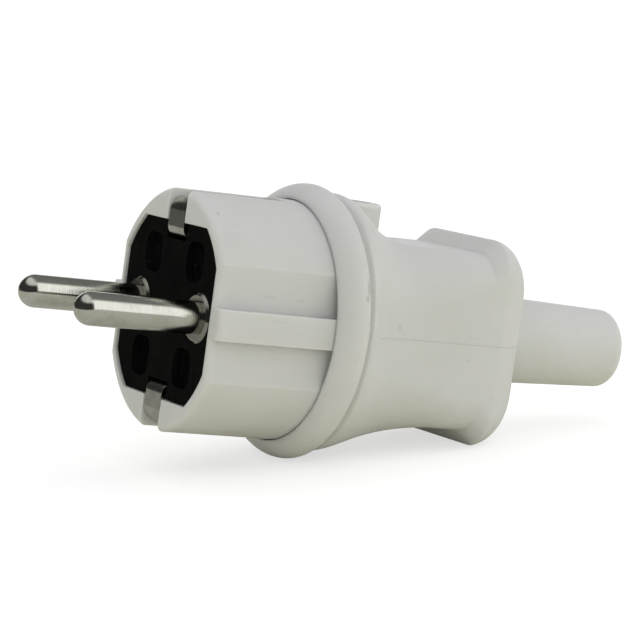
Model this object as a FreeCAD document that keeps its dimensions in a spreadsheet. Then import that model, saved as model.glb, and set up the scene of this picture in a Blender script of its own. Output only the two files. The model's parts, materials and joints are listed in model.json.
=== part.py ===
"""Straight rewirable two-pin plug with side earth clips, lying nose-up as it comes to rest."""
import FreeCAD, Part
import math
import os
import Sketcher

# Millimetres. The plug's own axis is X: pin tips at -X, cable end at +X, pins side by side in Y.
SIZES = {
    "pin_diameter": 4.8, "pin_spacing": 19, "pin_length": 19,
    "pin_ring_step": 1.25, "pin_ring_proud": 0.35, "pin_ring_depth": 1.2, "pin_ring_bevel": 0.4,
    "pin_tail_step": 0.4, "pin_tail_length": 4,
    "terminal_width": 5.8, "terminal_height": 6.6, "terminal_length": 9,
    "wire_hole_diameter": 3.4, "wire_hole_depth": 4.4,
    "shell_margin": 8.1, "shell_length": 24, "shell_edge_radius": 0.9, "shell_wall": 1.6,
    "shell_side_wall": 1.35, "shell_rib_height": 4.4, "shell_lip_depth": 5.5,
    "tongue_width": 8, "tongue_thickness": 2.4, "tongue_drop": 1, "tongue_past": 4.1, "tongue_foot": 1.3,
    "insert_side": 4.65, "insert_drop": 5, "insert_recess": 0.5, "insert_wall": 2.8,
    "skirt_step": 1.4, "skirt_wall": 1.2,
    "pocket_inner": 3.8, "pocket_side": 0.1, "pocket_rise": 1.05, "pocket_margin": 2.1,
    "pocket_corner": 1.8, "pocket_depth": 1.7,
    "notch_side": 0.3, "notch_depth": 2.5,
    "post_wall": 1.4, "post_end": 12, "column_width": 6, "column_height": 13,
    "platform_low": 4.2, "platform_thickness": 2, "platform_step": 2, "platform_gap": 1.4,
    "platform_rib_place": 7.2, "platform_rib": 1.5, "platform_rib_step": 2,
    "clip_width": 4.9, "clip_thickness": 0.6, "clip_depth": 0.15, "clip_bend": 1.4, "clip_inner_bend": 0.9,
    "clip_drop": 1.25, "clip_lift": 0.35, "clip_short": 1, "clip_stop": 0.5,
    "slot_side": 0.45, "slot_rest": 0.05, "slot_gap": 2.9,
    "bridge_width": 6, "bridge_tab_width": 4.2, "bridge_thickness": 0.8, "bridge_tab_run": 6,
    "terminal_screw_diameter": 3, "terminal_screw_head": 4.6, "terminal_head_height": 1.8,
    "terminal_screw_lift": 0.8, "terminal_screw_tip": 1.2, "terminal_screw_inset": 2.4,
    "earth_screw_drop": 3.2, "earth_washer_side": 5.8, "earth_washer_thickness": 1, "earth_screw_depth": 6,
    "clamp_inset": 5, "clamp_length": 9, "clamp_squeeze": 0.2, "clamp_thickness": 2.2, "clamp_side": 1.7,
    "clamp_ear": 1.7, "clamp_seat": 0.4, "clamp_boss_diameter": 4.2, "clamp_boss_root": 0.4,
    "clamp_screw_diameter": 2.6, "clamp_screw_head": 3.7, "clamp_head_height": 1.7, "clamp_screw_grip": 4,
    "spigot_length": 6.1, "collar_lip": 0.5, "collar_run": 3, "collar_rise": 2, "collar_bead_radius": 1.9,
    "collar_tail": 2.7, "neck_drop": 1.25, "neck_run": 18.8,
    "cavity_side": 3.4, "grip_side_wall": 3, "grip_top_wall": 2.25, "grip_corner": 5.5,
    "grip_length": 31.4, "grip_end_radius": 8.2, "lobe_rise": 2.35, "lobe_level": 0.6, "rear_depth": 12.6,
    "screw_pad_width": 9, "screw_pad_step": 3.9, "screw_pad_drop": 1.75, "screw_pad_edge": 0.6,
    "screw_pad_foot_rise": 0.15, "screw_pad_flare": 1.4,
    "cover_screw_diameter": 3, "cover_screw_head": 5.6, "cover_head_height": 2.2, "cover_screw_sink": 3.3,
    "cover_screw_past": 0.6, "nut_side": 5.5, "nut_thickness": 1.8,
    "sleeve_flange_step": 1.85, "sleeve_flange_thickness": 4, "sleeve_diameter": 13.3, "sleeve_taper": 0.65,
    "sleeve_length": 21.4, "sleeve_tip_run": 1.4, "sleeve_tip_drop": 0.8, "sleeve_bore": 7.6,
    "drive_slot_width": 0.9, "drive_slot_depth": 0.9,
    "slide_gap": 0.15, "fit_gap": 0.05,
}

# Sizes and places that follow from the ones above: the face is laid out round the pins, the grip round
# the cord and the cover on the shell.
LINKS = {
    "pin_ring_diameter": "pin_diameter + 2 * pin_ring_step",
    "pin_tail_diameter": "pin_diameter - 2 * pin_tail_step",
    "shell_diameter": "pin_spacing + 2 * shell_margin",
    "insert_diameter": "shell_diameter - 2 * shell_wall",
    "insert_width": "pin_spacing + 2 * insert_side",
    "insert_height": "shell_diameter - 2 * insert_drop",
    "shell_flat_width": "insert_width + 2 * shell_side_wall",
    "skirt_height": "insert_height + 2 * skirt_step",
    "pocket_outer": "pin_spacing / 2 - pocket_side",
    "pocket_low": "pin_ring_diameter / 2 + pocket_rise",
    "pocket_high": "insert_height / 2 - pocket_margin",
    "slot_width": "clip_width + 2 * slot_side",
    "notch_width": "slot_width + 2 * notch_side",
    "notch_floor": "insert_height / 2 - notch_depth",
    "clip_outer_face": "shell_diameter / 2 - clip_drop",
    "clip_inner_face": "notch_floor + clip_lift",
    "sleeve_post_diameter": "pin_diameter + 2 * post_wall",
    "collar_mouth": "shell_length - spigot_length",
    "slot_end": "collar_mouth - slot_gap",
    "clip_outer_end": "slot_end - clip_short",
    "bridge_tab_end": "post_end + bridge_tab_run",
    "clip_inner_end": "bridge_tab_end - clip_stop",
    "collar_mouth_diameter": "shell_diameter + 2 * slide_gap",
    "collar_crest": "collar_mouth + collar_run",
    "collar_diameter": "collar_mouth_diameter + 2 * collar_lip + 2 * collar_rise",
    "collar_back": "collar_crest + collar_tail",
    "neck_diameter": "collar_diameter - 2 * neck_drop",
    "neck_end": "collar_back + neck_run",
    "clamp_saddle": "sleeve_bore - clamp_squeeze",
    "clamp_spread": "clamp_saddle + 2 * clamp_thickness + 2 * clamp_side",
    "clamp_width": "clamp_spread + 2 * clamp_ear",
    "cavity_diameter": "clamp_spread + 2 * cavity_side",
    "grip_width": "cavity_diameter + 2 * grip_side_wall",
    "waist_height": "cavity_diameter + 2 * grip_top_wall",
    "lobe_height": "waist_height + 2 * lobe_rise",
    "grip_end": "collar_back + grip_length",
    "lobe_start": "grip_end - grip_end_radius - lobe_level",
    "cavity_end": "grip_end - rear_depth",
    "platform_start": "post_end + platform_step",
    "platform_rib_start": "platform_start + platform_rib_step",
    "platform_end": "cavity_end - platform_gap",
    "platform_top": "platform_low + platform_thickness",
    "platform_width": "2 * sqrt( ( cavity_diameter / 2 - slide_gap ) ^ 2 - platform_top ^ 2 )",
    "clamp_place": "platform_end - clamp_inset",
    "tongue_top": "cavity_diameter / 2 - tongue_drop",
    "screw_pad_place": "shell_length + screw_pad_step",
    "screw_pad_top": "collar_diameter / 2 - screw_pad_drop",
    "screw_pad_foot": "waist_height / 2 + screw_pad_foot_rise",
    "tongue_end": "screw_pad_place + tongue_past",
    "cover_screw_seat": "screw_pad_top - cover_screw_sink",
    "cover_screw_tip": "tongue_top - tongue_thickness - cover_screw_past",
    "sleeve_flange_diameter": "sleeve_diameter + 2 * sleeve_flange_step",
    "sleeve_tip_diameter": "sleeve_diameter - 2 * sleeve_taper",
    "sleeve_end": "grip_end + sleeve_length",
    "terminal_end": "post_end + terminal_length",
    "terminal_screw_place": "terminal_end - terminal_screw_inset",
}

doc = FreeCAD.newDocument("type_f_plug")
dims = doc.addObject("Spreadsheet::Sheet", "dims")
for row, (alias, value) in enumerate(SIZES.items(), 1):
    dims.set("A%d" % row, alias)
    dims.set("B%d" % row, str(value))
    dims.setAlias("B%d" % row, alias)
doc.recompute()


def bound(text):
    """Expression with each linked word written out and each size word pointed at the sheet."""
    parts = []
    for word in text.split():
        if word in LINKS:
            parts.append("( " + bound(LINKS[word]) + " )")
        else:
            parts.append("dims." + word if word in SIZES else word)
    return " ".join(parts)


def number(text):
    """Present value of an expression of size words."""
    return float(dims.evalExpression(bound(text)))


def minus(text):
    return "0 - ( " + text + " )"


def new_body(label):
    body = doc.addObject("PartDesign::Body", label)
    body.Label = label
    return body


def new_sketch(body, plane, offset=None):
    """Sketch on one of the body's own planes, moved along the plane's normal by an expression."""
    sketch = body.newObject("Sketcher::SketchObject", body.Label + "_sketch")
    support = [item for item in body.Origin.OriginFeatures if item.Role == plane][0]
    sketch.AttachmentSupport = [(support, "")]
    sketch.MapMode = "FlatFace"
    if offset:
        sketch.setExpression("AttachmentOffset.Base.z", bound(offset))
    return sketch


def hold(sketch, kind, places, text):
    """Dimension constraint bound to an expression."""
    index = sketch.addConstraint(Sketcher.Constraint(kind, *places, number(text)))
    sketch.setExpression("Constraints[%d]" % index, bound(text))


def outline(sketch, corners):
    """Closed outline. A corner is (x, y), or (x, y, radius, turn) where an arc leaves it."""
    points = [FreeCAD.Vector(number(corner[0]), number(corner[1]), 0) for corner in corners]
    ends = []
    for index, corner in enumerate(corners):
        start = points[index]
        target = points[(index + 1) % len(points)]
        if len(corner) == 2:
            ends.append((sketch.addGeometry(Part.LineSegment(start, target)), 1, 2))
            continue
        radius = number(corner[2])
        chord = target - start
        rise = math.sqrt(max(radius ** 2 - (chord.Length / 2) ** 2, 0))
        side = 1 if corner[3] == "left" else -1
        across = FreeCAD.Vector(-chord.y, chord.x, 0).normalize()
        middle = (start + target) * 0.5 + across * rise * side
        first, second = (start, target) if side > 0 else (target, start)
        turn_a = math.atan2(first.y - middle.y, first.x - middle.x)
        turn_b = math.atan2(second.y - middle.y, second.x - middle.x)
        circle = Part.Circle(middle, FreeCAD.Vector(0, 0, 1), radius)
        arc = sketch.addGeometry(Part.ArcOfCircle(circle, turn_a, turn_b))
        ends.append((arc, 1, 2) if side > 0 else (arc, 2, 1))
    for index, (shape, first, last) in enumerate(ends):
        follow = ends[(index + 1) % len(ends)]
        sketch.addConstraint(Sketcher.Constraint("Coincident", shape, last, follow[0], follow[1]))
    for index, corner in enumerate(corners):
        shape, start, last = ends[index]
        hold(sketch, "DistanceX", (-1, 1, shape, start), corner[0])
        hold(sketch, "DistanceY", (-1, 1, shape, start), corner[1])
        if len(corner) == 4:
            hold(sketch, "Radius", (shape,), corner[2])


OTHER_TURN = {"left": "right", "right": "left"}


def flip(corners):
    """The same outline mirrored in the sketch's horizontal axis."""
    return [(c[0], minus(c[1])) + ((c[2], OTHER_TURN[c[3]]) if len(c) == 4 else ()) for c in corners]


def mirror(corners):
    """The same outline mirrored in the sketch's vertical axis."""
    return [(minus(c[0]), c[1]) + ((c[2], OTHER_TURN[c[3]]) if len(c) == 4 else ()) for c in corners]


def box(left, low, right, high):
    return [(left, low), (right, low), (right, high), (left, high)]


def rounded(left, low, right, high, radius):
    """Rectangle with four rounded corners."""
    west, east = left + " + " + radius, right + " - " + radius
    south, north = low + " + " + radius, high + " - " + radius
    return [(west, low), (east, low, radius, "left"), (right, south), (right, north, radius, "left"),
            (east, high), (west, high, radius, "left"), (left, north), (left, south, radius, "left")]


def disc(sketch, across, up, diameter):
    """Circle held by its centre and diameter."""
    middle = FreeCAD.Vector(number(across), number(up), 0)
    circle = Part.Circle(middle, FreeCAD.Vector(0, 0, 1), number(diameter) / 2)
    shape = sketch.addGeometry(circle)
    hold(sketch, "DistanceX", (-1, 1, shape, 3), across)
    hold(sketch, "DistanceY", (-1, 1, shape, 3), up)
    hold(sketch, "Diameter", (shape,), diameter)


def finish(body, feature):
    doc.recompute()
    body.Tip = feature
    return feature


def raised(body, sketch, length, back=False, both=False):
    """Pad along the sketch's normal."""
    pad = body.newObject("PartDesign::Pad", body.Label + "_pad")
    pad.Profile = sketch
    pad.setExpression("Length", bound(length))
    pad.Reversed = back
    if both:
        pad.SideType = "Symmetric"
    return finish(body, pad)


def sunk(body, sketch, length=None, back=False, both=False):
    """Pocket against the sketch's normal, right through where no depth is given; it has to cut something."""
    before = body.Shape.Volume
    pocket = body.newObject("PartDesign::Pocket", body.Label + "_pocket")
    pocket.Profile = sketch
    if both:
        pocket.SideType = "Symmetric"
    if length:
        pocket.setExpression("Length", bound(length))
    else:
        pocket.Type = "ThroughAll"
    pocket.Reversed = back
    finish(body, pocket)
    if body.Shape.Volume > before - 1e-3:
        raise RuntimeError(body.Label + ": a pocket cuts nothing")
    return pocket


def turned(body, sketch, axis, cut=False):
    """Full turn of a profile about one of the body's own axes, or about the sketch's upright."""
    before = body.Shape.Volume if cut else 0
    kind = "PartDesign::Groove" if cut else "PartDesign::Revolution"
    turn = body.newObject(kind, body.Label + "_turn")
    turn.Profile = sketch
    if axis:
        turn.ReferenceAxis = ([item for item in body.Origin.OriginFeatures if item.Role == axis][0], [""])
    else:
        turn.ReferenceAxis = (sketch, ["V_Axis"])
    turn.Angle = 360
    finish(body, turn)
    if cut and body.Shape.Volume > before - 1e-3:
        raise RuntimeError(body.Label + ": a groove cuts nothing")
    return turn


def lofted(body, slices, straight=False):
    """Skin through a row of outlines, smooth or with straight runs."""
    loft = body.newObject("PartDesign::AdditiveLoft", body.Label + "_loft")
    loft.Profile = slices[0]
    loft.Sections = slices[1:]
    loft.Ruled = straight
    return finish(body, loft)


def face_outline(diameter, width, height):
    """Circle with flats at both sides and at top and bottom."""
    side = "sqrt( ( " + diameter + " ) ^ 2 - ( " + width + " ) ^ 2 ) / 2"
    top = "sqrt( ( " + diameter + " ) ^ 2 - ( " + height + " ) ^ 2 ) / 2"
    half_width, half_height = "( " + width + " ) / 2", "( " + height + " ) / 2"
    radius = "( " + diameter + " ) / 2"
    low, left = minus(half_height), minus(half_width)
    under, before = minus(side), minus(top)
    return [(before, low), (top, low, radius, "left"),
            (half_width, under), (half_width, side, radius, "left"),
            (top, half_height), (before, half_height, radius, "left"),
            (left, side), (left, under, radius, "left")]


def sweep(run, rise):
    """Radius of an arc that ends level after the given run and rise."""
    return "( ( " + run + " ) ^ 2 + ( " + rise + " ) ^ 2 ) / ( 2 * ( " + rise + " ) )"


def slotted_screw(label, diameter, head, head_height, shank):
    """Screw along the body's Z: head on the seat plane at zero, shank above it, slot across the head."""
    body = new_body(label)
    sketch = new_sketch(body, "XZ_Plane")
    half, wide = diameter + " / 2", head + " / 2"
    bevel = "drive_slot_width / 2"
    outline(sketch, [("0", minus(head_height)), (wide + " - " + bevel, minus(head_height)),
                     (wide, bevel + " - " + head_height), (wide, "0"), (half, "0"),
                     (half, shank + " - " + bevel), (half + " - " + bevel, shank), ("0", shank)])
    turned(body, sketch, "Z_Axis")
    sketch = new_sketch(body, "XY_Plane", minus(head_height))
    across = "drive_slot_width / 2"
    outline(sketch, box(minus(head), minus(across), head, across))
    sunk(body, sketch, "drive_slot_depth", back=True)
    return body


FRONT = "0 - insert_recess"


def build_pin(label):
    body = new_body(label)
    sketch = new_sketch(body, "XZ_Plane")
    half, ring, tail = "pin_diameter / 2", "pin_ring_diameter / 2", "pin_tail_diameter / 2"
    front = "0 - pin_ring_proud"
    outline(sketch, [("0 - pin_length", "0", half, "right"), ("pin_diameter / 2 - pin_length", half),
                     (front, half), (front, ring + " - pin_ring_bevel"),
                     (front + " + pin_ring_bevel", ring), ("pin_ring_depth", ring),
                     ("pin_ring_depth", half), ("post_end", half), ("post_end", tail),
                     ("post_end + pin_tail_length", tail), ("post_end + pin_tail_length", "0")])
    turned(body, sketch, "X_Axis")
    return body


def build_terminal(label):
    body = new_body(label)
    side, top = "terminal_width / 2", "terminal_height / 2"
    sketch = new_sketch(body, "YZ_Plane", "post_end")
    outline(sketch, box(minus(side), minus(top), side, top))
    raised(body, sketch, "terminal_length")
    sketch = new_sketch(body, "YZ_Plane", "post_end")
    disc(sketch, "0", "0", "pin_tail_diameter + 2 * fit_gap")
    sunk(body, sketch, "pin_tail_length", back=True)
    sketch = new_sketch(body, "YZ_Plane", "terminal_end")
    disc(sketch, "0", "0", "wire_hole_diameter")
    sunk(body, sketch, "wire_hole_depth")
    sketch = new_sketch(body, "XY_Plane")
    disc(sketch, "terminal_screw_place", "0", "terminal_screw_diameter + 2 * fit_gap")
    sunk(body, sketch, "terminal_height")
    return body


def build_shell():
    body = new_body("front_shell")
    half, flat, edge = "shell_diameter / 2", "shell_flat_width / 2", "shell_edge_radius"
    round_end, past_end = FRONT + " + " + edge, "shell_length + " + edge
    sketch = new_sketch(body, "XZ_Plane")
    outline(sketch, [(FRONT, "0"), (FRONT, half + " - " + edge, edge, "right"), (round_end, half),
                     ("shell_length", half), ("shell_length", "0")])
    turned(body, sketch, "X_Axis")
    beside = [(FRONT + " - " + edge, half), (FRONT + " - " + edge, flat + " - " + edge),
              (FRONT, flat + " - " + edge, edge, "right"), (round_end, flat),
              (past_end, flat), (past_end, half)]
    for level, upward in (("shell_rib_height / 2", True), ("0 - shell_rib_height / 2", False)):
        sketch = new_sketch(body, "XY_Plane", level)
        outline(sketch, beside)
        outline(sketch, flip(beside))
        sunk(body, sketch, back=upward)
    gap = " + 2 * slide_gap"
    sketch = new_sketch(body, "YZ_Plane", FRONT)
    outline(sketch, face_outline("insert_diameter" + gap, "insert_width" + gap, "insert_height" + gap))
    sunk(body, sketch, back=True)
    sketch = new_sketch(body, "YZ_Plane", "shell_lip_depth")
    outline(sketch, face_outline("insert_diameter" + gap, "insert_width" + gap, "skirt_height" + gap))
    sunk(body, sketch, back=True)
    floor = "clip_outer_face - clip_thickness - slot_rest"
    wall = FRONT + " + clip_depth + clip_thickness + slot_rest"
    bend = "( clip_bend + slot_rest )"
    slot = [(FRONT + " - " + edge, "insert_height / 2"), (wall, "insert_height / 2"),
            (wall, floor + " - " + bend, bend, "right"), (wall + " + " + bend, floor), ("slot_end", floor),
            ("slot_end", "shell_diameter"), (FRONT + " - " + edge, "shell_diameter")]
    for corners in (slot, flip(slot)):
        sketch = new_sketch(body, "XZ_Plane")
        outline(sketch, corners)
        sunk(body, sketch, "slot_width", both=True)
    low = "tongue_top - tongue_thickness"
    foot = "shell_length - tongue_foot"
    sketch = new_sketch(body, "XZ_Plane")
    root = "skirt_height / 2 + 2 * slide_gap"
    outline(sketch, [(foot, low), ("tongue_end", low), ("tongue_end", "tongue_top"),
                     ("shell_length", "tongue_top"), ("shell_length", root), (foot, root)])
    raised(body, sketch, "tongue_width", both=True)
    sketch = new_sketch(body, "XY_Plane", low)
    reach = "( nut_side / 2 + fit_gap )"
    outline(sketch, box("screw_pad_place - " + reach, minus(reach), "screw_pad_place + " + reach, reach))
    sunk(body, sketch, "nut_thickness", back=True)
    sketch = new_sketch(body, "XY_Plane", low)
    disc(sketch, "screw_pad_place", "0", "cover_screw_diameter + 2 * slide_gap")
    sunk(body, sketch, "tongue_thickness", back=True)
    return body


def build_carrier():
    body = new_body("contact_carrier")
    sketch = new_sketch(body, "YZ_Plane")
    outline(sketch, face_outline("insert_diameter", "insert_width", "insert_height"))
    raised(body, sketch, "shell_lip_depth")
    sketch = new_sketch(body, "YZ_Plane", "shell_lip_depth")
    outline(sketch, face_outline("insert_diameter", "insert_width", "skirt_height"))
    raised(body, sketch, "shell_length - shell_lip_depth")
    inner = "insert_diameter - 2 * skirt_wall", "insert_width - 2 * skirt_wall"
    sketch = new_sketch(body, "YZ_Plane", "insert_wall")
    outline(sketch, face_outline(inner[0], inner[1], "insert_height - 2 * skirt_wall"))
    sunk(body, sketch, back=True)
    sketch = new_sketch(body, "YZ_Plane", "shell_lip_depth + skirt_wall")
    outline(sketch, face_outline(inner[0], inner[1], "skirt_height - 2 * skirt_wall"))
    sunk(body, sketch, back=True)
    sketch = new_sketch(body, "YZ_Plane", "insert_wall")
    disc(sketch, "pin_spacing / 2", "0", "sleeve_post_diameter")
    disc(sketch, "0 - pin_spacing / 2", "0", "sleeve_post_diameter")
    across, up = "column_width / 2", "column_height / 2"
    outline(sketch, box(minus(across), minus(up), across, up))
    raised(body, sketch, "post_end - insert_wall")
    rib = box("platform_rib_place - platform_rib / 2", "platform_low",
              "platform_rib_place + platform_rib / 2",
              "skirt_height / 2 - skirt_wall / 2")
    sketch = new_sketch(body, "YZ_Plane", "platform_rib_start")
    outline(sketch, rib)
    outline(sketch, mirror(rib))
    raised(body, sketch, "shell_length - platform_rib_start")
    sketch = new_sketch(body, "YZ_Plane", "platform_start")
    outline(sketch, box("0 - platform_width / 2", "platform_low", "platform_width / 2", "platform_top"))
    raised(body, sketch, "platform_end - platform_start")
    sketch = new_sketch(body, "XY_Plane", "clamp_seat")
    for spread in ("clamp_spread / 2", "0 - clamp_spread / 2"):
        disc(sketch, "clamp_place", spread, "clamp_boss_diameter")
    raised(body, sketch, "platform_low + clamp_boss_root - clamp_seat")
    sketch = new_sketch(body, "XY_Plane", "clamp_seat")
    for spread in ("clamp_spread / 2", "0 - clamp_spread / 2"):
        disc(sketch, "clamp_place", spread, "clamp_screw_diameter + 2 * fit_gap")
    sunk(body, sketch, "clamp_screw_grip + slide_gap", back=True)
    sketch = new_sketch(body, "YZ_Plane")
    pocket = rounded("pocket_inner", "pocket_low", "pocket_outer", "pocket_high", "pocket_corner")
    for corners in (pocket, mirror(pocket), flip(pocket), flip(mirror(pocket))):
        outline(sketch, corners)
    sunk(body, sketch, "pocket_depth", back=True)
    notch = box("0 - notch_width / 2", "notch_floor", "notch_width / 2", "skirt_height")
    sketch = new_sketch(body, "YZ_Plane")
    outline(sketch, notch)
    outline(sketch, flip(notch))
    sunk(body, sketch, "shell_lip_depth", back=True)
    window = box("0 - notch_width / 2", "notch_floor", "notch_width / 2", "skirt_height / 2 - skirt_wall")
    sketch = new_sketch(body, "YZ_Plane")
    outline(sketch, window)
    outline(sketch, flip(window))
    sunk(body, sketch, "shell_length", back=True)
    sketch = new_sketch(body, "YZ_Plane")
    disc(sketch, "pin_spacing / 2", "0", "pin_diameter + 2 * fit_gap")
    disc(sketch, "0 - pin_spacing / 2", "0", "pin_diameter + 2 * fit_gap")
    sunk(body, sketch, "post_end", back=True)
    sketch = new_sketch(body, "YZ_Plane")
    disc(sketch, "pin_spacing / 2", "0", "pin_ring_diameter + 2 * fit_gap")
    disc(sketch, "0 - pin_spacing / 2", "0", "pin_ring_diameter + 2 * fit_gap")
    sunk(body, sketch, "pin_ring_depth", back=True)
    sketch = new_sketch(body, "YZ_Plane", "post_end")
    disc(sketch, "0", "0 - earth_screw_drop", "terminal_screw_diameter + 2 * fit_gap")
    sunk(body, sketch, "earth_screw_depth + slide_gap")
    reach = "tongue_width / 2 + slide_gap"
    sketch = new_sketch(body, "YZ_Plane", "shell_length - tongue_foot - slide_gap")
    outline(sketch, box(minus(reach), "platform_top + slide_gap", reach, "skirt_height"))
    sunk(body, sketch, "shell_length", back=True)
    return body


def build_clip(label, upside):
    """Hairpin strip: outer leg over the shell, front leg down its face, inner leg back to the bridge."""
    body = new_body(label)
    out, into = "clip_outer_face", "clip_inner_face"
    face, back = FRONT + " + clip_depth", FRONT + " + clip_depth + clip_thickness"
    wide, inside = "( clip_bend + clip_thickness )", "clip_bend"
    tight, loose = "clip_inner_bend", "( clip_inner_bend + clip_thickness )"
    corners = [("clip_outer_end", out), (face + " + " + wide, out, wide, "left"), (face, out + " - " + wide),
               (face, into + " + " + loose, loose, "left"), (face + " + " + loose, into), ("clip_inner_end", into),
               ("clip_inner_end", into + " + clip_thickness"),
               (face + " + " + loose, into + " + clip_thickness", tight, "right"), (back, into + " + " + loose),
               (back, out + " - " + wide, inside, "right"), (face + " + " + wide, out + " - clip_thickness"),
               ("clip_outer_end", out + " - clip_thickness")]
    sketch = new_sketch(body, "XZ_Plane")
    outline(sketch, corners if upside else flip(corners))
    raised(body, sketch, "clip_width", both=True)
    return body


def build_bridge():
    body = new_body("earth_bridge")
    sketch = new_sketch(body, "YZ_Plane", "post_end")
    reach = "( clip_inner_face - bridge_thickness )"
    outline(sketch, box("0 - bridge_width / 2", minus(reach), "bridge_width / 2", reach))
    raised(body, sketch, "bridge_thickness")
    tab = [("post_end", reach), ("bridge_tab_end", reach), ("bridge_tab_end", "clip_inner_face"),
           ("post_end", "clip_inner_face")]
    sketch = new_sketch(body, "XZ_Plane")
    outline(sketch, tab)
    outline(sketch, flip(tab))
    raised(body, sketch, "bridge_tab_width", both=True)
    sketch = new_sketch(body, "YZ_Plane", "post_end")
    disc(sketch, "0", "0 - earth_screw_drop", "terminal_screw_diameter + 2 * slide_gap")
    sunk(body, sketch, "bridge_thickness", back=True)
    return body


def build_washer():
    body = new_body("earth_terminal_washer")
    sketch = new_sketch(body, "YZ_Plane", "post_end + bridge_thickness")
    reach = "earth_washer_side / 2"
    outline(sketch, box(minus(reach), "0 - earth_screw_drop - " + reach, reach, reach + " - earth_screw_drop"))
    disc(sketch, "0", "0 - earth_screw_drop", "terminal_screw_diameter + 2 * slide_gap")
    raised(body, sketch, "earth_washer_thickness")
    return body


def build_clamp_bar():
    body = new_body("cord_clamp_bar")
    inner, outer = "clamp_saddle / 2", "( clamp_saddle / 2 + clamp_thickness )"
    low = "( clamp_seat - clamp_thickness )"
    step_in = "sqrt( ( " + inner + " ) ^ 2 - clamp_seat ^ 2 )"
    step_out = "sqrt( " + outer + " ^ 2 - " + low + " ^ 2 )"
    left, right = "0 - clamp_width / 2", "clamp_width / 2"
    sketch = new_sketch(body, "YZ_Plane", "clamp_place - clamp_length / 2")
    outline(sketch, [(left, "clamp_seat"), (left, low), (minus(step_out), low, outer, "left"), (step_out, low),
                     (right, low), (right, "clamp_seat"), (step_in, "clamp_seat", inner, "right"),
                     (minus(step_in), "clamp_seat")])
    raised(body, sketch, "clamp_length")
    sketch = new_sketch(body, "XY_Plane", low)
    for spread in ("clamp_spread / 2", "0 - clamp_spread / 2"):
        disc(sketch, "clamp_place", spread, "clamp_screw_diameter + 2 * slide_gap")
    sunk(body, sketch, "clamp_thickness", back=True)
    return body


# Neck of the cover, from the round collar to the grip: how far along each slice is, then how much of the way
# its sides, top, underside and corners have gone from the round to the grip.
NECK = [(0, 0, 0, 0, 0.01), (0.18, 0.68, 0.26, 0.22, 0.42), (0.34, 0.88, 0.71, 0.46, 0.56),
        (0.5, 0.95, 0.93, 0.68, 0.68), (0.67, 0.985, 1, 0.85, 0.8), (0.84, 1, 1, 0.96, 0.9), (1, 1, 1, 1, 1)]


def neck_slice(body, along, side, top, under, corner):
    def part_way(share, end):
        return "( neck_diameter / 2 * %.3f + %s * %.3f )" % (1 - share, end, share)

    sketch = new_sketch(body, "YZ_Plane", "collar_back + neck_run * %.3f" % along)
    across = part_way(side, "grip_width / 2")
    low, high = part_way(under, "waist_height / 2"), part_way(top, "waist_height / 2")
    outline(sketch, rounded(minus(across), minus(low), across, high, part_way(corner, "grip_corner")))
    return sketch


def end_slice(body, turn):
    """Slice of the rounded rear end, a turn of 0 where the rounding starts and 90 at the end face."""
    onward, inset = math.sin(math.radians(turn)), 1 - math.cos(math.radians(turn))
    sketch = new_sketch(body, "YZ_Plane", "grip_end - grip_end_radius * %.5f" % (1 - onward))
    across = "( grip_width / 2 - grip_end_radius * %.5f )" % inset
    high = "( lobe_height / 2 - grip_end_radius * %.5f )" % inset
    corner = "grip_corner * %.5f" % (1 - 0.3 * inset)
    outline(sketch, rounded(minus(across), minus(high), across, high, corner))
    return sketch


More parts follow.
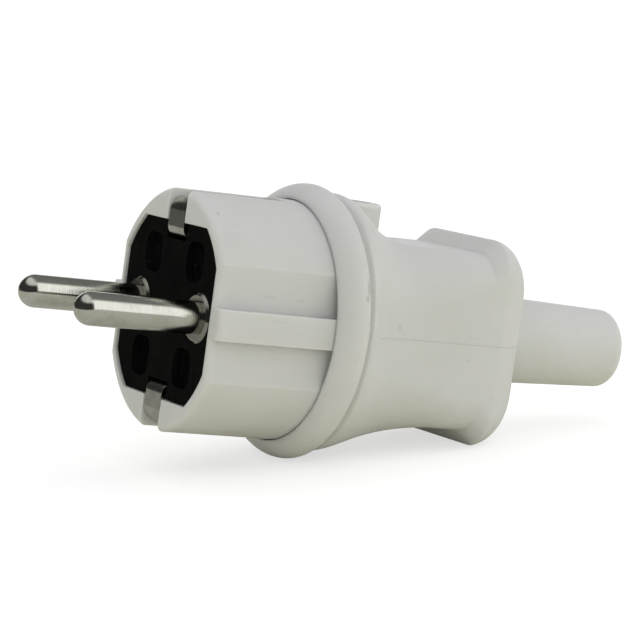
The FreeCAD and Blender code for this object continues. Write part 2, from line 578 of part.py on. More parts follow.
def build_cover():
    body = new_body("rear_cover")
    lofted(body, [neck_slice(body, *station) for station in NECK])
    raised(body, neck_slice(body, *NECK[-1]), "lobe_start - neck_end")
    foot = new_sketch(body, "YZ_Plane", "lobe_start")
    side, waist = "grip_width / 2", "waist_height / 2"
    outline(foot, rounded(minus(side), minus(waist), side, waist, "grip_corner"))
    lofted(body, [foot, end_slice(body, 12)], straight=True)
    lofted(body, [end_slice(body, turn) for turn in (12, 35, 60, 78, 90)])
    mouth = "collar_mouth_diameter / 2"
    lip, crest, bead = mouth + " + collar_lip", "collar_diameter / 2", "collar_bead_radius"
    root = "collar_back + collar_lip"
    sketch = new_sketch(body, "XZ_Plane")
    outline(sketch, [("collar_mouth", "0"), ("collar_mouth", lip, sweep("collar_run", "collar_rise"), "right"),
                     ("collar_crest", crest, bead, "right"), ("collar_crest + " + bead, crest + " - " + bead),
                     ("collar_back", "neck_diameter / 2"), (root, "neck_diameter / 2 - collar_rise"),
                     (root, "0")])
    turned(body, sketch, "X_Axis")
    wide, edge, height = "screw_pad_width / 2", "screw_pad_edge", "screw_pad_top"
    sketch = new_sketch(body, "YZ_Plane", "collar_crest")
    outline(sketch, [(minus(wide), "0"), (wide, "0"), (wide, height + " - " + edge, edge, "left"),
                     (wide + " - " + edge, height), (edge + " - " + wide, height, edge, "left"),
                     (minus(wide), height + " - " + edge)])
    raised(body, sketch, "screw_pad_place - collar_crest")
    foot, flare = "screw_pad_foot", "screw_pad_flare"
    sketch = new_sketch(body, "XZ_Plane")
    sketch.setExpression("AttachmentOffset.Base.x", bound("screw_pad_place"))
    outline(sketch, [("0", "0"), (wide + " + " + flare, "0"), (wide + " + " + flare, foot, flare, "right"),
                     (wide, foot + " + " + flare), (wide, height + " - " + edge, edge, "left"),
                     (wide + " - " + edge, height), ("0", height)])
    turned(body, sketch, None)
    bore, seat = "sleeve_diameter / 2 + slide_gap", "cavity_end + sleeve_flange_thickness"
    beyond = "grip_end + slide_gap"
    nest = "sleeve_flange_diameter / 2 + slide_gap"
    sketch = new_sketch(body, "XZ_Plane")
    before, cavity = "collar_mouth - slide_gap", "cavity_diameter / 2"
    outline(sketch, [(before, "0"), (before, mouth), ("shell_length", mouth), ("shell_length", cavity),
                     ("cavity_end", cavity), ("cavity_end", nest),
                     (seat, nest), (seat, bore), (beyond, bore), (beyond, "0")])
    turned(body, sketch, "X_Axis", cut=True)
    sketch = new_sketch(body, "XY_Plane", "screw_pad_top")
    disc(sketch, "screw_pad_place", "0", "cover_screw_head + 4 * slide_gap")
    sunk(body, sketch, "screw_pad_top - cover_screw_seat")
    sketch = new_sketch(body, "XY_Plane", "cover_screw_seat")
    disc(sketch, "screw_pad_place", "0", "cover_screw_diameter + 2 * slide_gap")
    sunk(body, sketch, "cover_screw_seat - cover_screw_tip")
    return body


def build_nut():
    body = new_body("cover_nut")
    sketch = new_sketch(body, "XY_Plane", "tongue_top - tongue_thickness")
    reach = "( nut_side / 2 )"
    outline(sketch, box("screw_pad_place - " + reach, minus(reach), "screw_pad_place + " + reach, reach))
    disc(sketch, "screw_pad_place", "0", "cover_screw_diameter + 2 * fit_gap")
    raised(body, sketch, "nut_thickness")
    return body


def build_sleeve():
    body = new_body("cable_sleeve")
    sketch = new_sketch(body, "XZ_Plane")
    seat, bore = "cavity_end + sleeve_flange_thickness", "sleeve_bore / 2"
    body_radius, tip_radius = "sleeve_diameter / 2", "sleeve_tip_diameter / 2"
    rounding = sweep("sleeve_tip_run", "sleeve_tip_drop")
    outline(sketch, [("cavity_end", bore), ("cavity_end", "sleeve_flange_diameter / 2"),
                     (seat, "sleeve_flange_diameter / 2"), (seat, body_radius), ("grip_end", body_radius),
                     ("sleeve_end - sleeve_tip_run", tip_radius, rounding, "right"),
                     ("sleeve_end", tip_radius + " - sleeve_tip_drop"),
                     ("sleeve_end", bore)])
    turned(body, sketch, "X_Axis")
    return body


def resting(cover):
    """Placement that lays the plug on its collar and the rear edge of the grip, pins raised."""
    def bends_up(one, two, three):
        return (two[0] - one[0]) * (three[1] - one[1]) > (two[1] - one[1]) * (three[0] - one[0])

    hull = []
    for point in sorted({(point.x, point.z) for point in cover.Shape.tessellate(0.01)[0]}):
        while len(hull) > 1 and not bends_up(hull[-2], hull[-1], point):
            hull.pop()
        hull.append(point)
    middle = number("shell_length")
    front, rear = [pair for pair in zip(hull, hull[1:]) if pair[0][0] < middle <= pair[1][0]][0]
    tilt = math.floor(1000 * math.atan2(rear[1] - front[1], rear[0] - front[0])) / 1000
    cosine, sine = math.cos(tilt), math.sin(tilt)
    half = number("pin_diameter / 2")
    nose = (half - number("pin_length")) * cosine - half
    tail = number("sleeve_end") * cosine + number("sleeve_tip_diameter / 2 - sleeve_tip_drop") * sine
    shift = FreeCAD.Vector(-(nose + tail) / 2, 0, front[0] * sine - front[1] * cosine)
    return FreeCAD.Placement(shift, FreeCAD.Rotation(FreeCAD.Vector(0, 1, 0), math.degrees(tilt)))


def spot(across, along="0", up="0", turn=None):
    """Placement in the plug's own axes."""
    place = FreeCAD.Vector(number(along), number(across), number(up))
    return FreeCAD.Placement(place, turn or FreeCAD.Rotation())


HOME = FreeCAD.Placement()
LEFT, RIGHT = "pin_spacing / 2", "0 - pin_spacing / 2"
TERMINAL_SEAT = "0 - terminal_height / 2 - terminal_screw_lift"
TERMINAL_SHANK = "terminal_height / 2 + terminal_screw_lift - terminal_screw_tip"
CLAMP_SEAT = "clamp_seat - clamp_thickness"
EARTH_SEAT = "post_end + bridge_thickness + earth_washer_thickness"
DOWN = FreeCAD.Rotation(FreeCAD.Vector(1, 0, 0), 180)
FORWARD = FreeCAD.Rotation(FreeCAD.Vector(0, 1, 0), -90)


def terminal_screw(label, shank):
    return slotted_screw(label, "terminal_screw_diameter", "terminal_screw_head", "terminal_head_height", shank)


def clamp_screw(label):
    return slotted_screw(label, "clamp_screw_diameter", "clamp_screw_head", "clamp_head_height",
                         "clamp_thickness + clamp_screw_grip")


pieces = [
    (build_shell(), HOME),
    (build_carrier(), HOME),
    (build_pin("line_pin"), spot(LEFT)),
    (build_pin("neutral_pin"), spot(RIGHT)),
    (build_terminal("line_terminal"), spot(LEFT)),
    (build_terminal("neutral_terminal"), spot(RIGHT)),
    (terminal_screw("line_terminal_screw", TERMINAL_SHANK),
     spot(LEFT, "terminal_screw_place", TERMINAL_SEAT)),
    (terminal_screw("neutral_terminal_screw", TERMINAL_SHANK),
     spot(RIGHT, "terminal_screw_place", TERMINAL_SEAT)),
    (build_clip("earth_clip_top", True), HOME),
    (build_clip("earth_clip_bottom", False), HOME),
    (build_bridge(), HOME),
    (build_washer(), HOME),
    (terminal_screw("earth_terminal_screw", "bridge_thickness + earth_washer_thickness + earth_screw_depth"),
     spot("0", EARTH_SEAT, "0 - earth_screw_drop", FORWARD)),
    (build_clamp_bar(), HOME),
    (clamp_screw("cord_clamp_screw_left"), spot("clamp_spread / 2", "clamp_place", CLAMP_SEAT)),
    (clamp_screw("cord_clamp_screw_right"), spot("0 - clamp_spread / 2", "clamp_place", CLAMP_SEAT)),
    (build_cover(), HOME),
    (slotted_screw("cover_screw", "cover_screw_diameter", "cover_screw_head", "cover_head_height",
                   "cover_screw_seat - cover_screw_tip"),
     spot("0", "screw_pad_place", "cover_screw_seat", DOWN)),
    (build_nut(), HOME),
    (build_sleeve(), HOME),
]

rest = resting(doc.getObject("rear_cover"))
for body, place in pieces:
    body.Placement = rest.multiply(place)
doc.recompute()

for item in doc.Objects:
    if "Invalid" in item.State or "Error" in item.State:
        raise RuntimeError("bad state: " + item.Label)
for body, place in pieces:
    if body.Shape.isNull() or not body.Shape.isValid() or len(body.Shape.Solids) != 1:
        raise RuntimeError("bad shape: " + body.Label)
os.makedirs("parts", exist_ok=True)
for body, place in pieces:
    body.Shape.exportStep("parts/" + body.Label + ".step")
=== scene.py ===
import json
import math

import bmesh
import bpy
from mathutils import Matrix, Vector

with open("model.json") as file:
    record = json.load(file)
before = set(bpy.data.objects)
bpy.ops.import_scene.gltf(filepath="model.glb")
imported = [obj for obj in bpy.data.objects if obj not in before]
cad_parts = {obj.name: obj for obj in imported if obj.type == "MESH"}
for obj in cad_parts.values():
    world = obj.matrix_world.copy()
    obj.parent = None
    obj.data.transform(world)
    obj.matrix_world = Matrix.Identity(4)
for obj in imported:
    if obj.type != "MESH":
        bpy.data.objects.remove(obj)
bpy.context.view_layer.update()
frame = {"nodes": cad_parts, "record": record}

scene = bpy.context.scene
scene.view_settings.view_transform = "Standard"

MILLIMETRE = 0.001

# The plug lies tilted. Its own axes start at the middle of the front face, X towards the cable.
# A pin's mount is at the middle of its straight length, this far in front of the face.
PIN_MIDDLE = 8.475 * MILLIMETRE
pins = [mount for mount in frame["record"]["mounts"] if mount["kind"] == "pin"]
forward = Vector(pins[0]["axis"])
face_middle = sum((Vector(pin["pos_m"]) for pin in pins), Vector()) / len(pins) - forward * PIN_MIDDLE
tilt = math.asin(forward.z)

WHITE = (0.583, 0.591, 0.586, 1)
WHITE_CLOUD = (0.564, 0.573, 0.558, 1)
# Paler white for worn edges and painted edge highlights.
WHITE_WORN_AND_HIGHLIT = (0.640, 0.646, 0.636, 1)
# Grime, also the colour of the painted shade in the grip's creases.
GRIME_AND_PAINTED_SHADE = (0.250, 0.250, 0.200, 1)
BLACK = (0.0036, 0.0036, 0.0037, 1)
BLACK_CLOUD = (0.0060, 0.0060, 0.0060, 1)
# Paler black for worn edges and painted edge highlights.
BLACK_WORN_AND_HIGHLIT = (0.030, 0.030, 0.028, 1)
DUST = (0.12, 0.12, 0.11, 1)
# Painted shade for a pin's root and ring near the front face.
PIN_ROOT_PAINTED_SHADE = (0.20, 0.19, 0.16, 1)

# How far each kind of wear takes a colour towards its own; the two edge shares also paint highlights along
# the edges.
# Edge wear that also paints highlights along the white edges.
WHITE_EDGE_WEAR_AND_HIGHLIGHT = 0.5
WHITE_DOT_DIRT = 0.55
WHITE_SCUFF_DIRT = 0.12
SEAM_DIRT = 0.10
# Edge wear that also paints highlights along the black insert's edges.
BLACK_EDGE_WEAR_AND_HIGHLIGHT = 0.30
BLACK_DOT_DUST = 0.25
BLACK_SCUFF_DUST = 0.15
METAL_TARNISH = 0.6
METAL_LINES = 0.4

SATIN_ROUGHNESS = 0.40
MATT_ROUGHNESS = 0.48

# In the plug's own millimetres: the parting line along the grip, and where painted shade darkens a pin near
# the face.
SEAM_EDGE = 0.16
SEAM_MIDDLE = 0.05
SEAM_DEPTH = 0.05
SEAM_START = 26.0
SEAM_FULL = 27.0
# Painted shade on a pin's root: where it starts and where it is full.
ROOT_PAINTED_SHADE_START = -1.2
ROOT_PAINTED_SHADE_FULL = -0.3

# Darkened patches on the near side, in the same millimetres: middle, reach each way and how dark. On the
# grip the first three are painted shade in the creases behind the collar, where the neck meets the side;
# the rest are marks of use.
GRIP_MARKS_AND_PAINTED_SHADE = [
    ((21.9, -18.6, 7.2), (0.5, 1.6, 1.9), 0.50),
    ((21.5, -19.2, 5.8), (0.7, 1.2, 0.8), 0.35),
    ((30.4, -14.5, 1.7), (0.6, 0.9, 0.6), 0.22),
    ((43.0, -14.0, -2.4), (0.4, 0.8, 0.25), 0.30),
]
SHELL_MARKS = [
    ((1.2, -9.4, 15.0), (0.35, 0.6, 0.35), 0.45),
    ((7.7, -15.5, 4.4), (1.6, 0.8, 0.35), 0.14),
    ((12.9, -15.5, 4.25), (1.2, 0.8, 0.35), 0.12),
]


def node(tree, kind, **settings):
    """A node of a tree. Settings name its properties, and the one called inputs holds its input values."""
    made = tree.nodes.new(kind)
    for name, value in settings.pop("inputs", {}).items():
        made.inputs[name].default_value = value
    for name, value in settings.items():
        setattr(made, name, value)
    return made


def wire(tree, *pairs):
    """Joins pairs of an output socket and an input socket."""
    for start, end in pairs:
        tree.links.new(start, end)


def sums(tree, operation, first, second=None, clamp=False):
    """A Math node on sockets or plain numbers, and its value."""
    made = node(tree, "ShaderNodeMath", operation=operation, use_clamp=clamp)
    for slot, value in enumerate((first, second)):
        if value is None:
            continue
        if isinstance(value, (int, float)):
            made.inputs[slot].default_value = value
        else:
            tree.links.new(value, made.inputs[slot])
    return made.outputs[0]


def times(tree, first, second):
    """One value times another."""
    return sums(tree, "MULTIPLY", first, second)


def ramp(tree, value, low, high):
    """A smooth step from 0 to 1 while a value goes from low to high."""
    made = node(tree, "ShaderNodeMapRange", interpolation_type="SMOOTHSTEP")
    made.inputs["From Min"].default_value = low
    made.inputs["From Max"].default_value = high
    tree.links.new(value, made.inputs["Value"])
    return made.outputs["Result"]


def tint(tree, share, under, over):
    """A colour that goes from under to over by a mask. Either may be a socket or a plain colour."""
    made = node(tree, "ShaderNodeMix", data_type="RGBA")
    tree.links.new(share, made.inputs["Factor"])
    for name, colour in (("A", under), ("B", over)):
        socket = next(s for s in made.inputs if s.name == name and s.type == "RGBA")
        if isinstance(colour, tuple):
            socket.default_value = colour
        else:
            tree.links.new(colour, socket)
    return next(s for s in made.outputs if s.type == "RGBA")


def axes_of(tree, vector):
    """The three numbers of a vector, as sockets called X, Y and Z."""
    made = node(tree, "ShaderNodeSeparateXYZ")
    wire(tree, (vector, made.inputs[0]))
    return made.outputs


def new_group(name, inputs, outputs):
    """An empty node group with its sockets, and its two end nodes."""
    group = bpy.data.node_groups.new(name, "ShaderNodeTree")
    for label, kind, value in inputs:
        socket = group.interface.new_socket(label, in_out="INPUT", socket_type="NodeSocket" + kind)
        if value is not None:
            socket.default_value = value
    for label, kind in outputs:
        group.interface.new_socket(label, in_out="OUTPUT", socket_type="NodeSocket" + kind)
    return group, group.nodes.new("NodeGroupInput"), group.nodes.new("NodeGroupOutput")


def skin_group():
    """Moulded skin: slow clouding of the colour, and a fine grain with slight sinks as height."""
    group, start, end = new_group(
        "moulded skin",
        [("Place", "Vector", None), ("Cloud", "Float", 0.07),
         ("Grain", "Float", 4.0), ("Sink", "Float", 0.3)],
        [("Cloud", "Float"), ("Height", "Float")])
    cloud = node(group, "ShaderNodeTexNoise", inputs={"Detail": 4.0, "Roughness": 0.55})
    grain = node(group, "ShaderNodeTexNoise", inputs={"Detail": 2.0, "Roughness": 0.5})
    sink = node(group, "ShaderNodeTexNoise", inputs={"Scale": 0.16, "Detail": 1.0})
    grain_height = 0.02
    for noise in (cloud, grain, sink):
        wire(group, (start.outputs["Place"], noise.inputs["Vector"]))
    for noise, label in ((cloud, "Cloud"), (grain, "Grain")):
        wire(group, (start.outputs[label], noise.inputs["Scale"]))
    low = times(group, sink.outputs[0], start.outputs["Sink"])
    height = sums(group, "ADD", times(group, grain.outputs[0], grain_height), low)
    wire(group, (ramp(group, cloud.outputs[0], 0.35, 0.65), end.inputs["Cloud"]))
    wire(group, (height, end.inputs["Height"]))
    return group


def speck_group():
    """Small marks: dots of dirt spread thinly, and short scuffs where handling left them."""
    group, start, end = new_group(
        "specks and scuffs",
        [("Place", "Vector", None), ("Spacing", "Float", 0.3), ("Dot", "Float", 0.07)],
        [("Dots", "Float"), ("Scuffs", "Float")])
    place = start.outputs["Place"]
    clean_cells = 0.72
    cells = node(group, "ShaderNodeTexVoronoi", inputs={"Randomness": 1.0})
    wire(group, (place, cells.inputs["Vector"]), (start.outputs["Spacing"], cells.inputs["Scale"]))
    chance = node(group, "ShaderNodeSeparateColor")
    wire(group, (cells.outputs["Color"], chance.inputs[0]))
    dot_size = times(group, start.outputs["Dot"], chance.outputs[1])
    near = sums(group, "LESS_THAN", cells.outputs["Distance"], dot_size)
    dirty = sums(group, "GREATER_THAN", chance.outputs[0], clean_cells)
    wire(group, (times(group, near, dirty), end.inputs["Dots"]))
    drawn = node(group, "ShaderNodeMapping", inputs={
        "Rotation": (0.2, 0.5, 0.9), "Scale": (0.25, 2.4, 1.6)})
    streak = node(group, "ShaderNodeTexNoise", inputs={"Scale": 1.0, "Detail": 3.0, "Roughness": 0.6})
    patch = node(group, "ShaderNodeTexNoise", inputs={"Scale": 0.13, "Detail": 1.0})
    wire(group, (place, drawn.inputs["Vector"]), (drawn.outputs[0], streak.inputs["Vector"]))
    wire(group, (place, patch.inputs["Vector"]))
    scratched = ramp(group, streak.outputs[0], 0.62, 0.72)
    handled = ramp(group, patch.outputs[0], 0.5, 0.62)
    wire(group, (times(group, scratched, handled), end.inputs["Scuffs"]))
    return group


def edge_group():
    """Rounded edges: the normal of a small radius, and a mask along the edges."""
    group, start, end = new_group(
        "rounded edges", [("Radius", "Float", 0.3 * MILLIMETRE)], [("Edge", "Float"), ("Normal", "Vector")])
    rounded = node(group, "ShaderNodeBevel", samples=6)
    flat = node(group, "ShaderNodeNewGeometry")
    apart = node(group, "ShaderNodeVectorMath", operation="DOT_PRODUCT")
    wire(group, (start.outputs["Radius"], rounded.inputs["Radius"]))
    wire(group, (rounded.outputs[0], apart.inputs[0]), (flat.outputs["Normal"], apart.inputs[1]))
    wire(group, (ramp(group, apart.outputs["Value"], 0.995, 0.86), end.inputs["Edge"]))
    wire(group, (rounded.outputs[0], end.inputs["Normal"]))
    return group


def turning_group():
    """Fine lines round a turned or drawn piece: a value along one axis, with little change across it."""
    group, start, end = new_group(
        "fine lines",
        [("Place", "Vector", None), ("Stretch", "Vector", (7.0, 0.35, 0.35))],
        [("Lines", "Float"), ("Tarnish", "Float")])
    place = start.outputs["Place"]
    drawn = node(group, "ShaderNodeVectorMath", operation="MULTIPLY")
    lines = node(group, "ShaderNodeTexNoise", inputs={"Scale": 1.0, "Detail": 3.0, "Roughness": 0.65})
    tarnish = node(group, "ShaderNodeTexNoise", inputs={"Scale": 0.45, "Detail": 4.0, "Roughness": 0.6})
    wire(group, (place, drawn.inputs[0]), (start.outputs["Stretch"], drawn.inputs[1]))
    wire(group, (drawn.outputs[0], lines.inputs["Vector"]), (place, tarnish.inputs["Vector"]))
    wire(group, (ramp(group, lines.outputs[0], 0.3, 0.7), end.inputs["Lines"]))
    wire(group, (ramp(group, tarnish.outputs[0], 0.42, 0.7), end.inputs["Tarnish"]))
    return group


def dark_patch_group():
    """One dark patch round a point, as long each way as its reach. It serves for marks of use and for
    painted shade in creases.
    """
    group, start, end = new_group(
        "dark patch: mark of use and painted shade",
        [(label, "Vector", None) for label in ("Place", "Middle", "Reach")] + [("Depth", "Float", 0.5)],
        [("Mark", "Float")])
    place = start.outputs["Place"]
    unevenness = 0.9
    away = node(group, "ShaderNodeVectorMath", operation="SUBTRACT")
    shares = node(group, "ShaderNodeVectorMath", operation="DIVIDE")
    far = node(group, "ShaderNodeVectorMath", operation="LENGTH")
    ragged = node(group, "ShaderNodeTexNoise", inputs={"Scale": 1.6, "Detail": 3.0})
    wire(group, (place, away.inputs[0]), (start.outputs["Middle"], away.inputs[1]))
    wire(group, (away.outputs[0], shares.inputs[0]), (start.outputs["Reach"], shares.inputs[1]))
    wire(group, (shares.outputs[0], far.inputs[0]), (place, ragged.inputs["Vector"]))
    uneven = sums(group, "ADD", far.outputs["Value"], times(group, ragged.outputs[0], unevenness))
    inside = ramp(group, uneven, 1.45, 0.6)
    wire(group, (times(group, inside, start.outputs["Depth"]), end.inputs["Mark"]))
    return group


SKIN = skin_group()
SPECKS = speck_group()
EDGES = edge_group()
LINES = turning_group()
DARK_PATCH = dark_patch_group()


def new_finish(name, **constants):
    """A material with its shader's plain values set, and the plug's own coordinates in millimetres."""
    material = bpy.data.materials.new(name)
    material.use_nodes = True
    tree = material.node_tree
    shader = tree.nodes["Principled BSDF"]
    for label, value in constants.items():
        shader.inputs[label.replace("_", " ")].default_value = value
    place = node(tree, "ShaderNodeTexCoord")
    turned = node(tree, "ShaderNodeMapping", vector_type="TEXTURE", inputs={
        "Location": face_middle, "Rotation": (0, tilt, 0),
        "Scale": (MILLIMETRE, MILLIMETRE, MILLIMETRE)})
    wire(tree, (place.outputs["Object"], turned.inputs["Vector"]))
    return material, tree, shader, turned.outputs["Vector"]


def use(tree, group, place=None, **values):
    """A placed node group with its own values, and what it puts out."""
    made = node(tree, "ShaderNodeGroup", node_tree=group)
    for label, value in values.items():
        made.inputs[label].default_value = value
    if place is not None:
        wire(tree, (place, made.inputs["Place"]))
    return made.outputs


def dress(tree, shader, colour, rough, height, edges):
    """Joins a finish to its shader, with its height in millimetres on top of the rounded edges."""
    relief = node(tree, "ShaderNodeBump", inputs={"Strength": 1.0, "Distance": MILLIMETRE})
    wire(tree, (height, relief.inputs["Height"]), (edges["Normal"], relief.inputs["Normal"]))
    wire(tree, (colour, shader.inputs["Base Color"]), (rough, shader.inputs["Roughness"]))
    wire(tree, (relief.outputs["Normal"], shader.inputs["Normal"]))


def white_moulding(name, edge_radius, specular, seam=False, spots=()):
    """Slightly translucent white plastic. A seam is the parting line along both sides of the grip."""
    material, tree, shader, place = new_finish(
        name, Specular_IOR_Level=specular,
        Subsurface_Weight=0.7, Subsurface_Radius=(1.0, 0.95, 0.85), Subsurface_Scale=1.2 * MILLIMETRE)
    skin = use(tree, SKIN, place)
    marks = use(tree, SPECKS, place)
    edges = use(tree, EDGES, Radius=edge_radius)
    colour = tint(tree, skin["Cloud"], WHITE, WHITE_CLOUD)
    # Paler along the rounded edges: edge wear and painted highlight.
    colour = tint(tree, times(tree, edges["Edge"], WHITE_EDGE_WEAR_AND_HIGHLIGHT), colour, WHITE_WORN_AND_HIGHLIT)
    scuffed = times(tree, marks["Scuffs"], WHITE_SCUFF_DIRT)
    dirt_and_shade = sums(tree, "ADD", times(tree, marks["Dots"], WHITE_DOT_DIRT), scuffed, clamp=True)
    # Each spot darkens a patch: marks of use, and on the grip painted shade in the creases behind the
    # collar.
    for middle, reach, depth in spots:
        spot = use(tree, DARK_PATCH, place, Middle=middle, Reach=reach, Depth=depth)
        dirt_and_shade = sums(tree, "MAXIMUM", dirt_and_shade, spot["Mark"])
    height = skin["Height"]
    if seam:
        axes = axes_of(tree, place)
        across = ramp(tree, sums(tree, "ABSOLUTE", axes["Z"]), SEAM_EDGE, SEAM_MIDDLE)
        line = times(tree, across, ramp(tree, axes["X"], SEAM_START, SEAM_FULL))
        dirt_and_shade = sums(tree, "MAXIMUM", dirt_and_shade, times(tree, line, SEAM_DIRT))
        height = sums(tree, "SUBTRACT", height, times(tree, line, SEAM_DEPTH))
    rough = sums(tree, "ADD", times(tree, skin["Cloud"], 0.07), SATIN_ROUGHNESS)
    rough = sums(tree, "SUBTRACT", rough, times(tree, marks["Scuffs"], 0.10))
    dress(tree, shader, tint(tree, dirt_and_shade, colour, GRIME_AND_PAINTED_SHADE), rough, height, edges)
    return material


def black_moulding():
    """Matt black insert: dusty in places, a little paler along its edges from wear and painted highlight.
    """
    material, tree, shader, place = new_finish("black moulding", Specular_IOR_Level=0.012)
    skin = use(tree, SKIN, place, Cloud=0.25, Grain=6.0, Sink=0.1)
    marks = use(tree, SPECKS, place, Spacing=0.6, Dot=0.1)
    edges = use(tree, EDGES, Radius=0.25 * MILLIMETRE)
    colour = tint(tree, skin["Cloud"], BLACK, BLACK_CLOUD)
    # Paler along the edges: edge wear and painted highlight.
    colour = tint(tree, times(tree, edges["Edge"], BLACK_EDGE_WEAR_AND_HIGHLIGHT), colour, BLACK_WORN_AND_HIGHLIT)
    scuffed = times(tree, marks["Scuffs"], BLACK_SCUFF_DUST)
    dust = sums(tree, "ADD", times(tree, marks["Dots"], BLACK_DOT_DUST), scuffed, clamp=True)
    rough = sums(tree, "ADD", times(tree, skin["Cloud"], 0.12), MATT_ROUGHNESS)
    dress(tree, shader, tint(tree, dust, colour, DUST), rough, skin["Height"], edges)
    return material


def plated(name, bright, dull, smooth, stretch, line_height, root=0.0):
    """Metal with fine lines and a breath of tarnish. Its last argument is its share of painted shade,
    darkening it near the front face.
    """
    material, tree, shader, place = new_finish(name, Metallic=1.0)
    lines = use(tree, LINES, place, Stretch=stretch)
    edges = use(tree, EDGES, Radius=0.15 * MILLIMETRE)
    drawn = times(tree, lines["Lines"], METAL_LINES)
    worn = sums(tree, "ADD", times(tree, lines["Tarnish"], METAL_TARNISH), drawn, clamp=True)
    colour = tint(tree, worn, bright, dull)
    if root:
        # Painted shade: the pin darkens towards the front face.
        root_shade_mask = ramp(tree, axes_of(tree, place)["X"], ROOT_PAINTED_SHADE_START, ROOT_PAINTED_SHADE_FULL)
        colour = tint(tree, times(tree, root_shade_mask, root), colour, PIN_ROOT_PAINTED_SHADE)
    rough = sums(tree, "ADD", times(tree, lines["Lines"], 0.06), smooth)
    rough = sums(tree, "ADD", rough, times(tree, lines["Tarnish"], 0.05))
    dress(tree, shader, colour, rough, times(tree, lines["Lines"], line_height), edges)
    return material


housing = white_moulding("satin white housing", 0.4 * MILLIMETRE, 0.42, spots=SHELL_MARKS)
cover = white_moulding("satin white grip", 0.6 * MILLIMETRE, 0.42, seam=True, spots=GRIP_MARKS_AND_PAINTED_SHADE)
sleeve = white_moulding("soft white sleeve", 0.5 * MILLIMETRE, 0.3)
insert = black_moulding()
pin_plate = plated(
    "nickel on turned pins", bright=(0.805, 0.805, 0.735, 1), dull=(0.66, 0.655, 0.575, 1),
    smooth=0.06, stretch=(7.0, 0.35, 0.35), line_height=0.004, root=0.7)
strip_plate = plated(
    "nickel on bent strip", bright=(0.575, 0.575, 0.52, 1), dull=(0.415, 0.415, 0.36, 1),
    smooth=0.16, stretch=(0.4, 6.0, 0.4), line_height=0.006)
brass = plated(
    "machined brass", bright=(0.72, 0.50, 0.21, 1), dull=(0.55, 0.36, 0.14, 1),
    smooth=0.24, stretch=(5.0, 1.0, 1.0), line_height=0.008)
zinc = plated(
    "zinc on steel", bright=(0.60, 0.60, 0.59, 1), dull=(0.46, 0.46, 0.44, 1),
    smooth=0.26, stretch=(3.0, 3.0, 3.0), line_height=0.006)

FINISHES = {
    "white_housing": housing, "white_sleeve": sleeve, "black_insert": insert,
    "nickel": pin_plate, "brass_inside": brass, "steel_inside": zinc,
}
OWN_FINISHES = {"rear_cover": cover, "earth_clip_top": strip_plate, "earth_clip_bottom": strip_plate}
for subpart in frame["record"]["subparts"]:
    name = subpart["node"]
    finish = OWN_FINISHES.get(name, FINISHES[subpart["material_slot"]])
    for slot in frame["nodes"][name].material_slots:
        slot.material = finish


def choose(tree, share, under, over, end):
    """Ends a tree with one shader where a share is 0 and another where it is 1."""
    chosen = node(tree, "ShaderNodeMixShader")
    wire(tree, (share, chosen.inputs[0]))
    wire(tree, (under.outputs[0], chosen.inputs[1]), (over.outputs[0], chosen.inputs[2]))
    wire(tree, (chosen.outputs[0], end.inputs[0]))


# The floor's paper: as it lights the plug, and as polished metal sees it. The camera sees it lit to white.
PAPER = (0.92, 0.895, 0.73, 1)
PAPER_IN_METAL = (0.37, 0.36, 0.32, 1)
PAPER_SHADED = (0.50, 0.50, 0.50, 1)
PAPER_GLOW = 0.60
PAPER_GLOW_IN_METAL = 0.12


def studio_floor():
    """A wide pale floor with the plug's shadow on it."""
    shape = bmesh.new()
    bmesh.ops.create_grid(shape, x_segments=1, y_segments=1, size=6.0)
    mesh = bpy.data.meshes.new("studio_floor")
    shape.to_mesh(mesh)
    shape.free()
    floor = bpy.data.objects.new("studio_floor", mesh)
    scene.collection.objects.link(floor)
    material = bpy.data.materials.new("pale paper")
    material.use_nodes = True
    tree = material.node_tree
    tree.nodes.clear()
    end = node(tree, "ShaderNodeOutputMaterial")
    seen = node(tree, "ShaderNodeLightPath").outputs
    paper = node(tree, "ShaderNodeBsdfDiffuse")
    wire(tree, (tint(tree, seen["Is Glossy Ray"], PAPER, PAPER_IN_METAL), paper.inputs["Color"]))
    lit_paper = node(tree, "ShaderNodeBsdfDiffuse", inputs={"Color": PAPER_SHADED})
    glow = node(tree, "ShaderNodeEmission", inputs={"Color": (1, 1, 1, 1), "Strength": PAPER_GLOW})
    shown = node(tree, "ShaderNodeAddShader")
    wire(tree, (lit_paper.outputs[0], shown.inputs[0]), (glow.outputs[0], shown.inputs[1]))
    in_metal = times(tree, seen["Is Glossy Ray"], PAPER_GLOW_IN_METAL)
    mirrored = sums(tree, "MAXIMUM", in_metal, seen["Is Transmission Ray"])
    choose(tree, sums(tree, "MAXIMUM", seen["Is Camera Ray"], mirrored), paper, shown, end)
    mesh.materials.append(material)


# What polished metal sees of the studio, from the backdrop over the ceiling to the wall behind the camera:
# how far round, and how bright.
STUDIO = [(0.0, 1.0), (0.05, 1.0), (0.12, 0.14), (0.60, 0.18), (0.70, 1.0), (1.0, 1.0)]
# On the side that the pins point to, it sees a dark wall under a pale ceiling.
SIDE_WALL = (0.03, 0.03, 0.03, 1)
SIDE_CEILING = (0.60, 0.60, 0.60, 1)


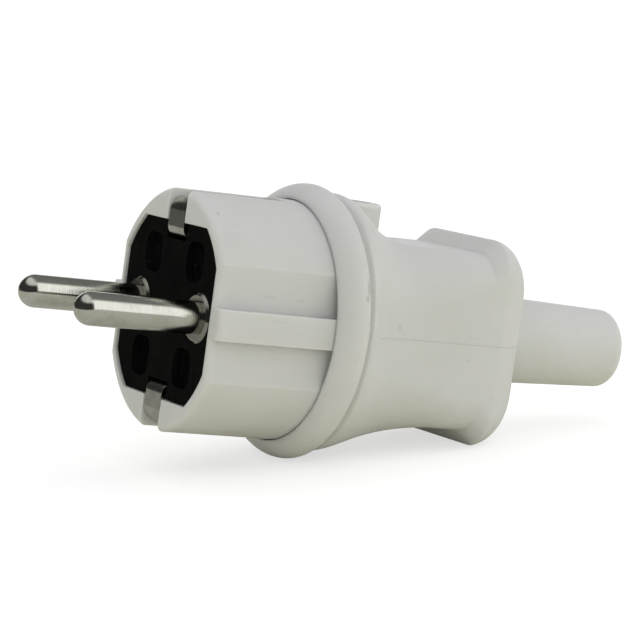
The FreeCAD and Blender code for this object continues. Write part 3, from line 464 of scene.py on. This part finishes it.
def studio_world():
    """Even light from all round. The camera sees a white backdrop, metal the backdrop and the studio."""
    world = bpy.data.worlds.new("studio")
    scene.world = world
    world.use_nodes = True
    tree = world.node_tree
    tree.nodes.clear()
    end = node(tree, "ShaderNodeOutputWorld")
    seen = node(tree, "ShaderNodeLightPath").outputs
    even = node(tree, "ShaderNodeBackground", inputs={"Color": (1, 1, 1, 1), "Strength": 0.80})
    backdrop = node(tree, "ShaderNodeBackground", inputs={"Strength": 1.0})
    axes = axes_of(tree, node(tree, "ShaderNodeTexCoord").outputs["Generated"])
    turn = sums(tree, "ARCTAN2", axes["Z"], axes["Y"])
    round_studio = node(tree, "ShaderNodeValToRGB")
    wire(tree, (sums(tree, "DIVIDE", turn, math.pi, clamp=True), round_studio.inputs[0]))
    stops = round_studio.color_ramp.elements
    while len(stops) < len(STUDIO):
        stops.new(0.5)
    for stop, (place, level) in zip(stops, STUDIO):
        stop.position = place
        stop.color = (level, level, level, 1)
    side = tint(tree, ramp(tree, axes["Z"], 0.60, 0.85), SIDE_WALL, SIDE_CEILING)
    studio = tint(tree, ramp(tree, axes["X"], 0.14, -0.10), round_studio.outputs[0], side)
    wire(tree, (tint(tree, seen["Is Camera Ray"], studio, (1, 1, 1, 1)), backdrop.inputs["Color"]))
    mirrored = sums(tree, "MAXIMUM", seen["Is Glossy Ray"], seen["Is Transmission Ray"])
    choose(tree, sums(tree, "MAXIMUM", seen["Is Camera Ray"], mirrored), even, backdrop, end)


def softbox(name, place, size, power):
    """A square soft lamp, aimed at the plug and left out of what metal mirrors."""
    aim = Vector((0, 0, 0.02))
    lamp = bpy.data.lights.new(name, "AREA")
    lamp.shape = "SQUARE"
    lamp.size = size
    lamp.energy = power
    held = bpy.data.objects.new(name, lamp)
    held.location = place
    held.visible_glossy = False
    held.rotation_mode = "QUATERNION"
    held.rotation_quaternion = (aim - Vector(place)).to_track_quat("-Z", "Y")
    scene.collection.objects.link(held)


def photo_camera():
    """The photograph's view: a long lens, low and to the left, a hair out of level."""
    eye = face_middle + Vector((-0.188399, -0.385511, 0.069382))
    aim = face_middle + Vector((0.026017, 0.001730, -0.004298))
    roll = math.radians(-0.91)
    camera = bpy.data.cameras.new("photo_camera")
    camera.lens = 170.27
    camera.sensor_width = 36.0
    camera.clip_start = 0.01
    camera.clip_end = 50.0
    held = bpy.data.objects.new("photo_camera", camera)
    level = (aim - eye).to_track_quat("-Z", "Y").to_matrix()
    held.matrix_world = Matrix.Translation(eye) @ (level @ Matrix.Rotation(roll, 3, "Z")).to_4x4()
    scene.collection.objects.link(held)
    scene.camera = held


studio_floor()
studio_world()
softbox("key_softbox", place=(-0.20, -0.85, 0.22), size=0.60, power=1.15)
softbox("fill_softbox", place=(0.80, -0.30, 0.35), size=0.60, power=1.4)
softbox("top_softbox", place=(0.10, 0.45, 0.80), size=0.70, power=1.0)
photo_camera()
